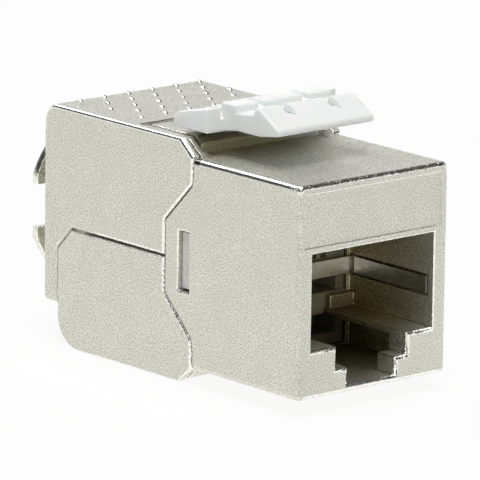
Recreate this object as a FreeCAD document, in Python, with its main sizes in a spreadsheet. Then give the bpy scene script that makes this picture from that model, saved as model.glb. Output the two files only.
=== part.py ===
import FreeCAD, Part
import math
import os
import re
import Sketcher

# Shielded, tool-free keystone jack, in millimetres.
# X runs across the jack, Y from the plug side to the cable side, Z upwards.
# The origin is the middle of the front block's lower front edge.

SIZES = {
    # front block, which passes through the panel cut-out
    "block_width": 14.5,
    "block_height": 16.0,
    "block_depth": 11.9,
    "block_round": 0.45,
    # port for the plug
    "port_width": 11.9,
    "port_ceiling": 10.83,
    "port_depth": 9.3,
    "front_wall": 2.05,
    "rail_top": 3.6,
    "rail_thickness": 0.5,
    "rail_gap": 6.8,
    "slot_step": 1.9,
    "slot_width": 4.6,
    "slot_floor": 0.52,
    "tongue_room": 12.6,
    "stop_height": 1.05,
    "stop_width": 2.33,
    "stop_depth": 0.5,
    "panel_half": 6.7,
    "panel_bottom": 11.3,
    "panel_margin": 0.7,
    "panel_depth": 0.1,
    # rear body
    "crown_rise": 1.35,
    "belly_drop": 1.2,
    "rear_face": 29.46,
    "lap_thickness": 1.6,
    "lap_bottom": 2.0,
    "lap_corner": 0.5,
    "parting": 8.09,
    "parting_gap": 0.12,
    "wing_wall": 0.7,
    "wing_plate": 0.85,
    "wing_front": 12.02,
    "nose_run": 1.5,
    "nose_drop": 1.24,
    "crown_round": 1.4,
    "belly_round": 2.4,
    "corner_cut": 1.7,
    "body_gap": 0.1,
    "plate_gap": 0.25,
    # hinges
    "hinge_back": 1.7,
    "hinge_inset": 1.45,
    "trunnion_radius": 0.7,
    "trunnion_play": 0.05,
    "trunnion_end": 0.1,
    # middle of the body, between the wings' side walls
    "core_wall": 0.8,
    "core_floor": 0.9,
    "core_end": 20.0,
    "deck_front": 12.9,
    "deck_rear": 18.7,
    "deck_dip": 0.1,
    "tab_margin": 2.1,
    "tab_bottom": 2.35,
    "tab_rear": 15.1,
    "tab_flat": 0.02,
    "tab_lead": 1.0,
    "groove_width": 0.3,
    "groove_depth": 0.85,
    "barrel_radius": 1.35,
    "barrel_room": 0.15,
    "catch_front": 5.6,
    "catch_ridge": 6.9,
    "catch_rear": 8.1,
    "catch_drop": 0.9,
    "catch_half": 3.0,
    "window_front": 12.3,
    "window_rear": 13.6,
    "window_bottom": 5.7,
    "window_top": 10.35,
    # latch
    "bar_half": 6.3,
    "bar_front": 11.5,
    "bar_rear": 15.45,
    "bar_lift": 0.45,
    "bar_thickness": 1.4,
    "bar_round": 0.9,
    "bar_slope": 0.35,
    "ear_rise": 0.5,
    "ear_inner": 5.0,
    "dip_inner": 3.5,
    "dip_depth": 0.4,
    "hook_half": 4.7,
    "hook_front": 5.4,
    "hook_ridge": 7.6,
    "ridge_flat": 0.5,
    "ridge_rise": 4.15,
    "lip_rise": 2.4,
    "lip_height": 0.45,
    "notch_rear": 10.2,
    "notch_floor": 3.4,
    "notch_rise": 0.2,
    "shoulder_rise": 4.0,
    "hook_skin": 0.8,
    "relief_inner": 1.8,
    "relief_width": 0.7,
    "relief_depth": 0.65,
    "skirt_rise": 2.05,
    "pivot_back": 15.2,
    "pivot_depth": 0.95,
    "pivot_radius": 0.6,
    "pivot_play": 0.05,
    "neck_thickness": 0.7,
    "neck_half": 4.2,
    # cable collar
    "collar_height": 8.8,
    "cable_radius": 4.5,
    "collar_wall": 1.1,
    "collar_length": 2.44,
    "collar_gap": 3.3,
    "rim_radius": 6.85,
    "rim_half": 6.42,
    "rim_thickness": 0.65,
    "slot_play": 0.25,
    # spring strip in the port
    "strip_bottom": 6.03,
    "strip_height": 1.3,
    "strip_thickness": 0.2,
    "strip_front": 0.8,
    "strip_jog": 0.45,
    "recess_depth": 0.5,
    "recess_play": 0.13,
    # insert, board and wire block
    "insert_play": 0.05,
    "carrier_rear": 13.0,
    "carrier_dip": 2.4,
    "dip_top": 5.9,
    "ledge_bottom": 3.2,
    "ledge_top": 4.85,
    "tongue_front": 2.1,
    "tongue_half": 5.1,
    "tongue_thickness": 1.3,
    "tongue_play": 0.1,
    "lug_out": 0.4,
    "comb_bottom": 7.45,
    "comb_depth": 0.55,
    "board_thickness": 1.2,
    "board_margin": 0.2,
    "contact_pitch": 1.016,
    "contact_width": 0.36,
    "contact_thickness": 0.28,
    "contact_play": 0.12,
    "contact_tip": 8.1,
    "contact_bend": 3.3,
    "blade_pitch": 2.8,
    "blade_width": 2.1,
    "blade_thickness": 0.4,
    "blade_slot": 0.36,
    "blade_slot_depth": 2.6,
    "blade_row": 4.1,
    "blade_play": 0.1,
    "middle_height": 8.0,
    "cap_gap": 0.05,
    "cap_rear": 25.6,
    "cap_half": 6.2,
    "cap_margin": 0.6,
    "cap_guide": 0.9,
    "cap_pocket": 2.6,
    "cap_play": 0.2,
    # nubs on the upper wing
    "nub_radius": 0.3,
    "nub_height": 0.2,
    "nub_pitch": 2.35,
    "nub_row": 1.8,
    "nub_shift": 0.95,
    "nub_rear": 1.46,
}

# Shorthand for lengths that follow from the sizes above.
TERMS = {
    "half": "(block_width / 2)",
    "crown": "(block_height + crown_rise)",
    "belly": "(0 - belly_drop)",
    "wing_in": "(half - wing_wall)",
    "core_half": "(wing_in - body_gap)",
    "core_in": "(core_half - core_wall)",
    "deck_top": "(crown - deck_dip)",
    "plate_under": "(crown - wing_plate)",
    "plate_over": "(belly + wing_plate)",
    "core_bottom": "(plate_over + body_gap)",
    "lap_face": "(rear_face - lap_thickness)",
    "lower_rear": "(lap_face - parting_gap)",
    "plate_front": "(deck_rear + plate_gap)",
    "hinge_y": "(wing_front + hinge_back)",
    "hinge_high": "(crown - hinge_inset)",
    "hinge_low": "(belly + hinge_inset)",
    "belly_front": "(hinge_y + barrel_radius + barrel_room)",
    "contact_run": "(tongue_room - tongue_play - tongue_thickness)",
    "tab_top": "(block_height - tab_margin)",
    "tab_front": "(wing_front + tab_flat)",
    "tab_chamfer": "(tab_rear - tab_front)",
    "gap_slant": "(parting_gap * 0.4142)",
    "insert_half": "(core_in - insert_play)",
    "insert_low": "(core_bottom + core_floor + insert_play)",
    "insert_high": "(block_height - core_floor - insert_play)",
    "carrier_front": "(port_depth + strip_thickness + insert_play)",
    "board_front": "(carrier_rear)",
    "board_rear": "(board_front + board_thickness)",
    "collar_rear": "(rear_face + collar_length)",
    "collar_out": "(cable_radius + collar_wall)",
    "bar_bottom": "(crown + bar_lift)",
    "bar_top": "(bar_bottom + bar_thickness)",
    "ridge_top": "(block_height + ridge_rise)",
    "lip_bottom": "(block_height + lip_rise)",
    "lip_top": "(lip_bottom + lip_height)",
    "notch_low": "(block_height + notch_floor)",
    "notch_high": "(notch_low + notch_rise)",
    "shoulder_top": "(block_height + shoulder_rise)",
    "skirt_bottom": "(block_height + skirt_rise)",
    "pivot_z": "(deck_top - pivot_depth)",
    "blade_tip": "(core_end - blade_play)",
    "high_row": "(middle_height + blade_row)",
    "low_row": "(middle_height - blade_row)",
}

CONTACTS = 8
BLADES_PER_ROW = 4
NUB_LINES = 5
NUBS_PER_LINE = 6

doc = FreeCAD.newDocument("KeystoneJack")
sheet = doc.addObject("Spreadsheet::Sheet", "Sizes")
for row, (alias, number) in enumerate(SIZES.items(), start=1):
    sheet.set("A%d" % row, alias)
    sheet.set("B%d" % row, str(number))
    sheet.setAlias("B%d" % row, alias)
doc.recompute()


def formula(text):
    """Write a size formula out in cells of the sheet."""
    while any(word in TERMS for word in re.findall(r"[a-z_]+", text)):
        text = re.sub(r"[a-z_]+", lambda word: TERMS.get(word.group(0), word.group(0)), text)
    return re.sub(r"[a-z_]{3,}", lambda word: "Sizes." + word.group(0), text)


def bind(thing, prop, text):
    thing.setExpression(prop, formula(text))


def new_body(name):
    body = doc.addObject("PartDesign::Body", name)
    body.Label = name
    return body


def origin_plane(body, role):
    return next(item for item in body.Origin.OriginFeatures if item.Role == role)


def new_sketch(body, name, role, place):
    """A sketch on one of the body's own origin planes, moved along the row axis by a formula."""
    sketch = body.newObject("Sketcher::SketchObject", name)
    sketch.AttachmentSupport = [(origin_plane(body, role), "")]
    sketch.MapMode = "FlatFace"
    sign = "-1 * " if role == "XZ_Plane" else ""
    bind(sketch, ".AttachmentOffset.Base.z", sign + "(" + place + ")")
    return sketch


def pin_point(sketch, geometry, point, corner):
    """Hold a sketch point at a pair of formulas."""
    for kind, text in zip(("DistanceX", "DistanceY"), corner):
        start = sketch.getPoint(geometry, point)
        now = start.x if kind == "DistanceX" else start.y
        index = sketch.addConstraint(Sketcher.Constraint(kind, geometry, point, now))
        label = "%s_%d_%d" % (kind, geometry, point)
        sketch.renameConstraint(index, label)
        bind(sketch, "Constraints." + label, text)


def outline(body, name, role, corners, place="0"):
    """A closed outline of straight sides through corners given as pairs of formulas."""
    sketch = new_sketch(body, name, role, place)
    count = len(corners)
    turn = 2 * math.pi / count
    ring = [FreeCAD.Vector(math.cos(turn * i), math.sin(turn * i), 0) for i in range(count)]
    for i in range(count):
        sketch.addGeometry(Part.LineSegment(ring[i], ring[(i + 1) % count]), False)
    for i in range(count):
        sketch.addConstraint(Sketcher.Constraint("Coincident", i, 2, (i + 1) % count, 1))
    for i, corner in enumerate(corners):
        pin_point(sketch, i, 1, corner)
    return sketch


def box_corners(left, right, low, high):
    return [(left, low), (right, low), (right, high), (left, high)]


def disc(body, name, role, middle, radius, place="0"):
    """A circle with its centre at a pair of formulas."""
    sketch = new_sketch(body, name, role, place)
    sketch.addGeometry(Part.Circle(FreeCAD.Vector(1, 1, 0), FreeCAD.Vector(0, 0, 1), 1), False)
    pin_point(sketch, 0, 3, middle)
    index = sketch.addConstraint(Sketcher.Constraint("Radius", 0, 1.0))
    sketch.renameConstraint(index, "radius")
    bind(sketch, "Constraints.radius", radius)
    return sketch


def extrude(body, kind, name, sketch, length, middle=False):
    """Pad or pocket a sketch: both ways from its plane, or towards +Y, +X or +Z."""
    feature = body.newObject("PartDesign::" + kind, name)
    feature.Profile = sketch
    bind(feature, "Length", length)
    if middle:
        feature.SideType = "Symmetric"
    else:
        backwards = "XZ_Plane" in [item.Role for item, _ in sketch.AttachmentSupport]
        feature.Reversed = backwards != (kind == "Pocket")
    return feature


def pad(body, name, sketch, length, middle=False):
    return extrude(body, "Pad", name, sketch, length, middle)


def pocket(body, name, sketch, length, middle=False):
    """Cut a sketch away, and make sure that the cut took something off."""
    doc.recompute()
    before = body.Shape.Volume
    feature = extrude(body, "Pocket", name, sketch, length, middle)
    doc.recompute()
    if body.Shape.Volume > before - 1e-6:
        raise RuntimeError(name + " cuts nothing")
    return feature


def straight_edges(shape, along):
    """Numbers and middles of the straight edges that run along an axis."""
    found = []
    for index, edge in enumerate(shape.Edges, start=1):
        if edge.Curve.TypeId != "Part::GeomLine":
            continue
        direction = edge.tangentAt(edge.FirstParameter)
        if abs(abs(direction.dot(along)) - 1) < 1e-6:
            found.append((index, edge.CenterOfMass))
    return found


def same(first, second):
    return abs(first - second) < 1e-3


def fillet_edges(body, name, along, wanted, radius):
    """Round the straight edges along an axis that pass a test of their middle and the body's box."""
    doc.recompute()
    base = body.Tip
    box = base.Shape.BoundBox
    names = ["Edge%d" % index for index, middle in straight_edges(base.Shape, along) if wanted(middle, box)]
    if not names:
        raise RuntimeError(name + " finds no edge")
    feature = body.newObject("PartDesign::Fillet", name)
    feature.Base = (base, names)
    bind(feature, "Radius", radius)
    body.Tip = feature
    doc.recompute()


AXIS_X = FreeCAD.Vector(1, 0, 0)
AXIS_Y = FreeCAD.Vector(0, 1, 0)


def make_front_housing():
    """Cast body: front block with the port, and the open core that carries hinges and insert."""
    body = new_body("front_housing")
    block = outline(body, "BlockOutline", "XZ_Plane", box_corners("-half", "half", "0", "block_height"))
    pad(body, "Block", block, "block_depth")
    fillet_edges(body, "BlockRounds", AXIS_Y,
                 lambda p, box: same(p.z, box.ZMin) or same(p.z, box.ZMax), "block_round")
    panel = outline(body, "PanelOutline", "XZ_Plane", box_corners(
        "-panel_half", "panel_half", "panel_bottom", "block_height - panel_margin"))
    pocket(body, "Panel", panel, "panel_depth")
    core = outline(
        body, "CoreOutline", "XZ_Plane",
        box_corners("-core_half", "core_half", "core_bottom", "block_height"), "block_depth - 0.5",
    )
    pad(body, "Core", core, "core_end - block_depth + 0.5")
    cheek = outline(body, "CheekOutline", "YZ_Plane", [
        ("wing_front - 0.3", "block_height - 1"),
        ("deck_rear", "block_height - 1"),
        ("deck_rear", "deck_top"),
        ("wing_front + nose_run", "deck_top"),
        ("wing_front", "crown - nose_drop"),
        ("wing_front - 0.3", "block_height"),
    ])
    pad(body, "Cheeks", cheek, "2 * core_half", middle=True)
    barrel = disc(body, "BarrelOutline", "YZ_Plane", ("hinge_y", "hinge_low"), "barrel_radius")
    pad(body, "Barrel", barrel, "2 * core_half", middle=True)
    catch = outline(body, "CatchOutline", "YZ_Plane", [
        ("catch_front", "0.3"),
        ("catch_front", "0"),
        ("catch_ridge", "-catch_drop"),
        ("catch_rear", "-catch_drop"),
        ("catch_rear", "0.3"),
    ])
    pad(body, "Catch", catch, "2 * catch_half", middle=True)
    step = outline(body, "StepOutline", "YZ_Plane", box_corners(
        "wing_front - 1", "deck_front", "block_height", "crown + 1"))
    pocket(body, "Step", step, "2 * core_in", middle=True)
    for side, sign in (("Left", "-1"), ("Right", "1")):
        groove = outline(body, side + "GrooveOutline", "XZ_Plane", box_corners(
            sign + " * core_in", sign + " * (core_in + groove_width)",
            "deck_top - groove_depth", "crown + 1"), "block_depth")
        pocket(body, side + "Groove", groove, "deck_rear - block_depth + 1")
    tab = outline(body, "TabOutline", "YZ_Plane", [
        ("block_depth - 0.5", "tab_bottom - tab_lead"),
        ("block_depth", "tab_bottom - tab_lead"),
        ("tab_front", "tab_bottom"),
        ("tab_rear", "tab_bottom + tab_chamfer"),
        ("tab_rear", "tab_top - tab_chamfer"),
        ("tab_front", "tab_top"),
        ("block_depth", "tab_top + tab_lead"),
        ("block_depth - 0.5", "tab_top + tab_lead"),
    ])
    pad(body, "Tabs", tab, "block_width", middle=True)
    inside = outline(
        body, "InsertRoom", "XZ_Plane",
        box_corners("-core_in", "core_in", "core_bottom + core_floor", "block_height - core_floor"),
        "port_depth",
    )
    pocket(body, "InsertPocket", inside, "core_end")
    mouth = outline(body, "MouthOutline", "XZ_Plane", [
        ("-slot_width / 2", "slot_floor"),
        ("slot_width / 2", "slot_floor"),
        ("slot_width / 2", "slot_step"),
        ("rail_gap / 2", "slot_step"),
        ("rail_gap / 2", "rail_top"),
        ("port_width / 2", "rail_top"),
        ("port_width / 2", "port_ceiling"),
        ("-port_width / 2", "port_ceiling"),
        ("-port_width / 2", "rail_top"),
        ("-rail_gap / 2", "rail_top"),
        ("-rail_gap / 2", "slot_step"),
        ("-slot_width / 2", "slot_step"),
    ])
    pocket(body, "Mouth", mouth, "front_wall + 0.5")
    cavity = outline(body, "CavityOutline", "XZ_Plane", box_corners(
        "-port_width / 2", "port_width / 2", "slot_floor", "tongue_room"), "front_wall")
    pocket(body, "Cavity", cavity, "port_depth - front_wall")
    recess = outline(body, "RecessOutline", "YZ_Plane", box_corners(
        "strip_front - recess_play", "port_depth",
        "strip_bottom - recess_play", "strip_bottom + strip_height + recess_play"))
    pocket(body, "StripRecess", recess, "port_width + 2 * recess_depth", middle=True)
    for side, sign in (("Left", "-1"), ("Right", "1")):
        rail = outline(body, side + "RailOutline", "XZ_Plane", box_corners(
            sign + " * rail_gap / 2", sign + " * (port_width / 2 + 0.2)",
            "rail_top - rail_thickness", "rail_top"), "front_wall - 0.2")
        pad(body, side + "Rail", rail, "port_depth - front_wall + 0.2")
        stop = outline(body, side + "StopOutline", "XZ_Plane", box_corners(
            sign + " * (port_width / 2 - stop_width)", sign + " * (port_width / 2 + 0.2)",
            "rail_top - 0.2", "rail_top + stop_height"), "port_depth - stop_depth")
        pad(body, side + "Stop", stop, "stop_depth")
    window = outline(body, "WindowOutline", "YZ_Plane", box_corners(
        "window_front", "window_rear", "window_bottom", "window_top"))
    pocket(body, "Windows", window, "block_width + 1", middle=True)
    for name, height in (("High", "hinge_high"), ("Low", "hinge_low")):
        for side, start in (("Left", "-core_half - 0.1"), ("Right", "core_in")):
            hole = disc(body, side + name + "HingeOutline", "YZ_Plane", ("hinge_y", height),
                        "trunnion_radius + trunnion_play", start)
            pocket(body, side + name + "HingeHole", hole, "core_wall + 0.1")
    channel = disc(body, "PivotOutline", "YZ_Plane", ("pivot_back", "pivot_z"), "pivot_radius + pivot_play")
    pocket(body, "PivotChannel", channel, "2 * (neck_half + 0.1)", middle=True)
    throat = outline(body, "ThroatOutline", "YZ_Plane", [
        ("pivot_back - neck_thickness / 2 - pivot_play", "pivot_z"),
        ("pivot_back + neck_thickness / 2 + pivot_play", "pivot_z"),
        ("pivot_back + neck_thickness / 2 + pivot_play", "crown + 1"),
        ("pivot_back - neck_thickness / 2 - 0.5", "crown + 1"),
    ])
    pocket(body, "PivotThroat", throat, "2 * (neck_half + 0.1)", middle=True)
    return body


def collar_half(body, upper):
    """Half of the split collar that a wing carries: a neck, and a rim for the cable tie behind it."""
    start = "rear_face - 0.2" if upper else "lower_rear - 0.2"
    neck = disc(body, "NeckOutline", "XZ_Plane", ("0", "collar_height"), "collar_out", start)
    pad(body, "Neck", neck, "collar_rear - (" + start + ")")
    rim = disc(body, "RimOutline", "XZ_Plane", ("0", "collar_height"), "rim_radius",
               "collar_rear - rim_thickness")
    pad(body, "Rim", rim, "rim_thickness")
    low, high = ("belly - 2", "collar_height + collar_gap / 2")
    if not upper:
        low, high = ("collar_height - collar_gap / 2", "crown + 2")
    begin = "rear_face + 0.001" if upper else "lower_rear - wing_plate - 0.1"
    split = outline(body, "SplitOutline", "XZ_Plane", box_corners("-block_width", "block_width", low, high),
                    begin)
    pocket(body, "Split", split, "collar_rear - (" + begin + ") + 1")
    for side, sign in (("Left", "-1"), ("Right", "1")):
        flat = outline(body, side + "FlatOutline", "XZ_Plane", box_corners(
            sign + " * rim_half", sign + " * (rim_radius + 1)", "belly - 2", "crown + 2"),
            "collar_rear - rim_thickness - 0.01")
        pocket(body, side + "Flat", flat, "rim_thickness + 1")
    bore_start = "lap_face - 0.5" if upper else "lower_rear - wing_plate - 0.5"
    bore = disc(body, "BoreOutline", "XZ_Plane", ("0", "collar_height"), "cable_radius", bore_start)
    pocket(body, "Bore", bore, "collar_rear - (" + bore_start + ") + 1")


def trunnions(body, height):
    """Two short pins cast on the inner side of a wing's walls, which turn in the core's holes."""
    for side, sign in (("Left", "-1"), ("Right", "1")):
        start = "-1 * (wing_in + 0.2)" if sign == "-1" else "core_in + trunnion_end"
        pin = disc(body, side + "TrunnionOutline", "YZ_Plane", ("hinge_y", height), "trunnion_radius", start)
        pad(body, side + "Trunnion", pin, "wing_in + 0.2 - core_in - trunnion_end")


def make_upper_wing():
    """Cast upper half of the rear, with the tongue that laps behind the lower wing."""
    body = new_body("upper_wing")
    shell = outline(body, "WingOutline", "YZ_Plane", [
        ("wing_front", "tab_top + tab_lead + parting_gap"),
        ("tab_front + gap_slant", "tab_top + parting_gap"),
        ("tab_rear + parting_gap", "tab_top - tab_chamfer + gap_slant"),
        ("tab_rear + parting_gap", "parting"),
        ("lap_face - corner_cut", "parting"),
        ("lap_face", "parting - corner_cut"),
        ("lap_face", "lap_bottom"),
        ("rear_face", "lap_bottom"),
        ("rear_face", "crown"),
        ("wing_front + nose_run", "crown"),
        ("wing_front", "crown - nose_drop"),
    ])
    pad(body, "Shell", shell, "block_width", middle=True)
    fillet_edges(body, "CrownRound", AXIS_X,
                 lambda p, box: same(p.y, box.YMax) and same(p.z, box.ZMax), "crown_round")
    fillet_edges(body, "TongueRound", AXIS_X,
                 lambda p, box: same(p.y, box.YMax) and same(p.z, box.ZMin), "lap_corner")
    room = outline(body, "RoomOutline", "YZ_Plane", [
        ("0", "belly - 5"),
        ("lap_face", "belly - 5"),
        ("lap_face", "plate_under"),
        ("plate_front", "plate_under"),
        ("plate_front", "crown + 5"),
        ("0", "crown + 5"),
    ])
    pocket(body, "Room", room, "2 * wing_in", middle=True)
    collar_half(body, True)
    slot = outline(body, "CableSlotOutline", "XZ_Plane", box_corners(
        "-(collar_out + slot_play)", "collar_out + slot_play",
        "belly - 5", "collar_height + collar_gap / 2"), "lap_face - 0.5")
    pocket(body, "CableSlot", slot, "lap_thickness + 1")
    trunnions(body, "hinge_high")
    nubs = new_sketch(body, "NubOutlines", "XY_Plane", "crown - 0.05")
    for line in range(NUB_LINES):
        count = NUBS_PER_LINE - line % 2
        for spot in range(count):
            nub = nubs.addGeometry(
                Part.Circle(FreeCAD.Vector(3 * spot, 3 * line, 0), FreeCAD.Vector(0, 0, 1), 1), False)
            pin_point(nubs, nub, 3, (
                "nub_shift + %s * nub_pitch" % (spot - (count - 1) / 2),
                "rear_face - nub_rear - %d * nub_row" % line))
            index = nubs.addConstraint(Sketcher.Constraint("Radius", nub, 1.0))
            nubs.renameConstraint(index, "radius_%d" % nub)
            bind(nubs, "Constraints.radius_%d" % nub, "nub_radius")
    pad(body, "Nubs", nubs, "nub_height + 0.05")
    return body


def make_lower_wing():
    """Cast lower half of the rear; its collar half reaches out through the upper wing's tongue."""
    body = new_body("lower_wing")
    shell = outline(body, "WingOutline", "YZ_Plane", [
        ("wing_front", "tab_bottom - tab_lead - parting_gap"),
        ("wing_front", "belly + nose_drop"),
        ("wing_front + nose_run", "belly"),
        ("lower_rear", "belly"),
        ("lower_rear", "parting - parting_gap - corner_cut"),
        ("lap_face - corner_cut - gap_slant", "parting - parting_gap"),
        ("tab_rear + parting_gap", "parting - parting_gap"),
        ("tab_rear + parting_gap", "tab_bottom + tab_chamfer - gap_slant"),
        ("tab_front + gap_slant", "tab_bottom - parting_gap"),
    ])
    pad(body, "Shell", shell, "block_width", middle=True)
    fillet_edges(body, "BellyRound", AXIS_X,
                 lambda p, box: same(p.y, box.YMax) and same(p.z, box.ZMin), "belly_round")
    room = outline(body, "RoomOutline", "YZ_Plane", [
        ("0", "belly - 5"),
        ("belly_front", "belly - 5"),
        ("belly_front", "plate_over"),
        ("lower_rear - wing_plate - belly_round / 2", "plate_over"),
        ("lower_rear - wing_plate", "plate_over + belly_round / 2"),
        ("lower_rear - wing_plate", "crown"),
        ("0", "crown"),
    ])
    pocket(body, "Room", room, "2 * wing_in", middle=True)
    collar_half(body, False)
    trunnions(body, "hinge_low")
    return body


def make_latch():
    """Moulded snap latch: hook with a ramp, notch, shoulder, eared cross bar, and the foot it turns on."""
    body = new_body("latch")
    bar = outline(body, "BarOutline", "YZ_Plane", [
        ("bar_front", "bar_bottom"),
        ("bar_rear", "bar_bottom"),
        ("bar_rear", "bar_top - bar_slope"),
        ("bar_front", "bar_top + ear_rise"),
    ])
    pad(body, "Bar", bar, "2 * bar_half", middle=True)
    fillet_edges(body, "BarRound", AXIS_X,
                 lambda p, box: same(p.y, box.YMax) and p.z > box.ZMin + 0.5, "bar_round")
    saddle = outline(body, "SaddleOutline", "XZ_Plane", box_corners(
        "-ear_inner", "ear_inner", "bar_top", "bar_top + 2"), "bar_front")
    pocket(body, "Saddle", saddle, "bar_rear - bar_front")
    for side, sign in (("Left", "-1"), ("Right", "1")):
        dip = outline(body, side + "DipOutline", "XZ_Plane", box_corners(
            sign + " * dip_inner", sign + " * ear_inner", "bar_top - dip_depth", "bar_top + 2"), "bar_front")
        pocket(body, side + "Dip", dip, "bar_rear - bar_front")
    hook = outline(body, "HookOutline", "YZ_Plane", [
        ("hook_front", "lip_bottom"),
        ("hook_ridge", "skirt_bottom"),
        ("notch_rear", "skirt_bottom"),
        ("bar_front", "bar_bottom"),
        ("bar_front + 0.4", "bar_bottom"),
        ("bar_front + 0.4", "shoulder_top"),
        ("notch_rear", "shoulder_top"),
        ("notch_rear", "notch_low"),
        ("hook_ridge + ridge_flat + 0.2", "notch_high"),
        ("hook_ridge + ridge_flat", "ridge_top"),
        ("hook_ridge", "ridge_top"),
        ("hook_front", "lip_top"),
    ])
    pad(body, "Hook", hook, "2 * hook_half", middle=True)
    for side, sign in (("Left", "-1"), ("Right", "1")):
        relief = outline(body, side + "ReliefOutline", "XZ_Plane", box_corners(
            sign + " * relief_inner", sign + " * (relief_inner + relief_width)",
            "ridge_top - relief_depth", "ridge_top + 1"), "hook_front")
        pocket(body, side + "Relief", relief, "bar_front - hook_front")
    hollow = outline(body, "HollowOutline", "YZ_Plane", [
        ("hook_front + hook_skin", "skirt_bottom - 1"),
        ("bar_front - 0.4", "skirt_bottom - 1"),
        ("bar_front - 0.4", "notch_low - hook_skin"),
        ("hook_ridge + hook_skin / 2", "notch_low - hook_skin"),
        ("hook_front + hook_skin", "lip_bottom + 0.1"),
    ])
    pocket(body, "Hollow", hollow, "2 * (hook_half - hook_skin)", middle=True)
    neck = outline(body, "NeckOutline", "YZ_Plane", box_corners(
        "pivot_back - neck_thickness / 2", "pivot_back + neck_thickness / 2 - 0.25",
        "pivot_z", "bar_bottom + 0.3"))
    pad(body, "Neck", neck, "2 * neck_half", middle=True)
    foot = disc(body, "FootOutline", "YZ_Plane", ("pivot_back", "pivot_z"), "pivot_radius")
    pad(body, "Foot", foot, "2 * neck_half", middle=True)
    return body


def make_shield_spring():
    """Bent spring strip: an arm flush with each wall of the port, and a cross piece at the back."""
    body = new_body("shield_spring")
    side = "(port_width / 2 + recess_depth)"
    jog = "(port_depth - strip_jog)"
    half = [
        ("port_width / 2", jog + " - 0.05"),
        ("port_width / 2", "strip_front"),
        ("port_width / 2 + strip_thickness", "strip_front"),
        ("port_width / 2 + strip_thickness", jog + " - 0.1"),
        (side, jog + " + 0.05"),
        (side, "port_depth"),
    ]
    inner = [
        (side + " - strip_thickness", "port_depth - strip_thickness"),
        (side + " - strip_thickness", jog + " + 0.1"),
    ]
    right = inner + half
    left = [("-(" + across + ")", along) for across, along in reversed(right)]
    strip = outline(body, "StripOutline", "XY_Plane", right + left, "strip_bottom")
    pad(body, "Strip", strip, "strip_height")
    return body


def contact_place(index):
    return "(%s * contact_pitch)" % (index - (CONTACTS - 1) / 2)


def make_contact_carrier():
    """Plastic insert at the back of the port: it holds the contacts and snaps into the side windows."""
    body = new_body("contact_carrier")
    block = outline(body, "BlockOutline", "XZ_Plane", box_corners(
        "-insert_half", "insert_half", "insert_low", "insert_high"), "carrier_front")
    pad(body, "Block", block, "carrier_rear - carrier_front")
    tongue = outline(body, "TongueOutline", "YZ_Plane", box_corners(
        "tongue_front", "carrier_front + 0.5", "contact_run", "tongue_room - tongue_play"))
    pad(body, "Tongue", tongue, "2 * tongue_half", middle=True)
    lug = outline(body, "LugOutline", "YZ_Plane", box_corners(
        "window_front + insert_play", "carrier_rear",
        "window_bottom + 0.2", "window_top - 0.2"))
    pad(body, "Lugs", lug, "2 * (core_half + lug_out)", middle=True)
    dips = (("Low", "insert_low + core_floor", "ledge_bottom"), ("High", "ledge_top", "dip_top"))
    for name, low, high in dips:
        dip = outline(body, name + "DipOutline", "XZ_Plane", box_corners(
            "-(insert_half - core_wall)", "insert_half - core_wall", low, high), "carrier_front")
        pocket(body, name + "Dip", dip, "carrier_dip")
    ledge = outline(body, "LedgeOutline", "YZ_Plane", box_corners(
        "port_depth + insert_play", "carrier_front + 0.5", "ledge_bottom", "ledge_top"))
    pad(body, "Ledge", ledge, "2 * insert_half", middle=True)
    reach = "(%s * contact_pitch + contact_width / 2 + contact_play)" % ((CONTACTS - 1) / 2)
    slit = outline(body, "SlitOutline", "XZ_Plane", box_corners(
        "-" + reach, reach, "contact_run - contact_thickness - contact_play", "contact_run"), "carrier_front")
    pocket(body, "Slit", slit, "carrier_rear - carrier_front")
    for index in range(CONTACTS):
        place = contact_place(index)
        width = "(contact_width / 2 + contact_play)"
        comb = outline(body, "CombOutline%d" % (index + 1), "XZ_Plane", box_corners(
            place + " - " + width, place + " + " + width,
            "comb_bottom", "contact_run - contact_play"), "carrier_front")
        pocket(body, "Comb%d" % (index + 1), comb, "comb_depth")
    return body


def make_contact(index):
    """Flat spring contact: board pin, run under the tongue, front bend, and the tip in the comb."""
    body = new_body("contact_%d" % (index + 1))
    run = "contact_run"
    wire = outline(body, "ContactOutline", "YZ_Plane", [
        ("board_rear - 0.1", run + " - contact_thickness - 0.02"),
        ("board_rear - 0.1", run + " - 0.02"),
        ("contact_bend + 0.25", run + " - 0.02"),
        ("contact_bend", run + " - 0.22"),
        ("contact_bend", run + " - contact_thickness - 0.5"),
        ("contact_bend + 0.25", run + " - contact_thickness - 0.8"),
        ("carrier_front + comb_depth - 0.15", "contact_tip"),
        ("carrier_front + comb_depth - 0.15", "contact_tip + contact_thickness"),
        ("contact_bend + 0.45", run + " - contact_thickness - 0.52"),
        ("contact_bend + contact_thickness", run + " - contact_thickness - 0.4"),
        ("contact_bend + contact_thickness", run + " - contact_thickness - 0.1"),
        ("contact_bend + 0.45", run + " - contact_thickness - 0.02"),
    ], contact_place(index) + " - contact_width / 2")
    pad(body, "Wire", wire, "contact_width")
    return body


def blade_place(index):
    return "(%s * blade_pitch)" % (index % BLADES_PER_ROW - (BLADES_PER_ROW - 1) / 2)


def blade_row(index):
    return "high_row" if index < BLADES_PER_ROW else "low_row"


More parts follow.
